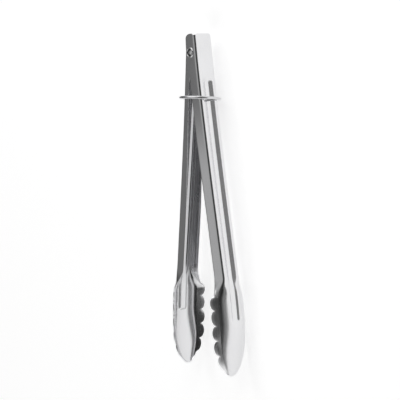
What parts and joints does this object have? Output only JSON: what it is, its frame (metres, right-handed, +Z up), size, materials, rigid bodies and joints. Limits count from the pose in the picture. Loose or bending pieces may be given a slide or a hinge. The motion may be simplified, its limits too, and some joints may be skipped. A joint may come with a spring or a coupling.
{
  "type": "kitchen tongs",
  "caption": "Spring-loaded stainless kitchen tongs with scalloped scoops, a hollow pivot rivet and a sliding wire lock ring.",
  "frame": {"origin": "centre of the hollow pivot rivet, on its axis, halfway across the tongs", "axes": "+X across the opening towards the outer arm, +Y along the tongs towards the head, +Z up along the pivot's axis, with the tongs lying on one side"},
  "size_m": [0.0786, 0.3036, 0.038],
  "materials": {
    "stamped_steel": "satin, fine lengthwise grain",
    "rivet_steel": "satin",
    "spring_steel": "drawn wire, dull",
    "ring_steel": "bright drawn wire"
  },
  "bodies": {
    "pivot": {"pivot_rivet": "rivet_steel", "torsion_spring": "spring_steel"},
    "outer": {"outer_arm": "stamped_steel"},
    "inner": {"inner_arm": "stamped_steel"},
    "ring": {"lock_ring": "ring_steel"}
  },
  "joints": [
    {"name": "outer_arm_swing", "type": "hinge", "parent": "pivot", "child": "outer", "pos_m": [0, 0, 0], "axis": [0, 0, -1], "range_deg": [0, 6.1], "stiffness_Nm_per_rad": 1, "springref_deg": -17.19, "deforming": ["torsion_spring"]},
    {"name": "inner_arm_swing", "type": "hinge", "parent": "pivot", "child": "inner", "pos_m": [0, 0, 0], "axis": [0, 0, 1], "range_deg": [0, 6.1], "stiffness_Nm_per_rad": 1, "springref_deg": -17.19, "deforming": ["torsion_spring"]},
    {"name": "ring_slide", "type": "slide", "parent": "pivot", "child": "ring", "axis": [0, -1, 0], "range_m": [0, 0.0721]}
  ],
  "couplings": [
    {"joint": "inner_arm_swing", "follows": "outer_arm_swing", "ratio": 1},
    {"joint": "ring_slide", "follows": "outer_arm_swing", "m_per_rad": 0.6762}
  ]
}
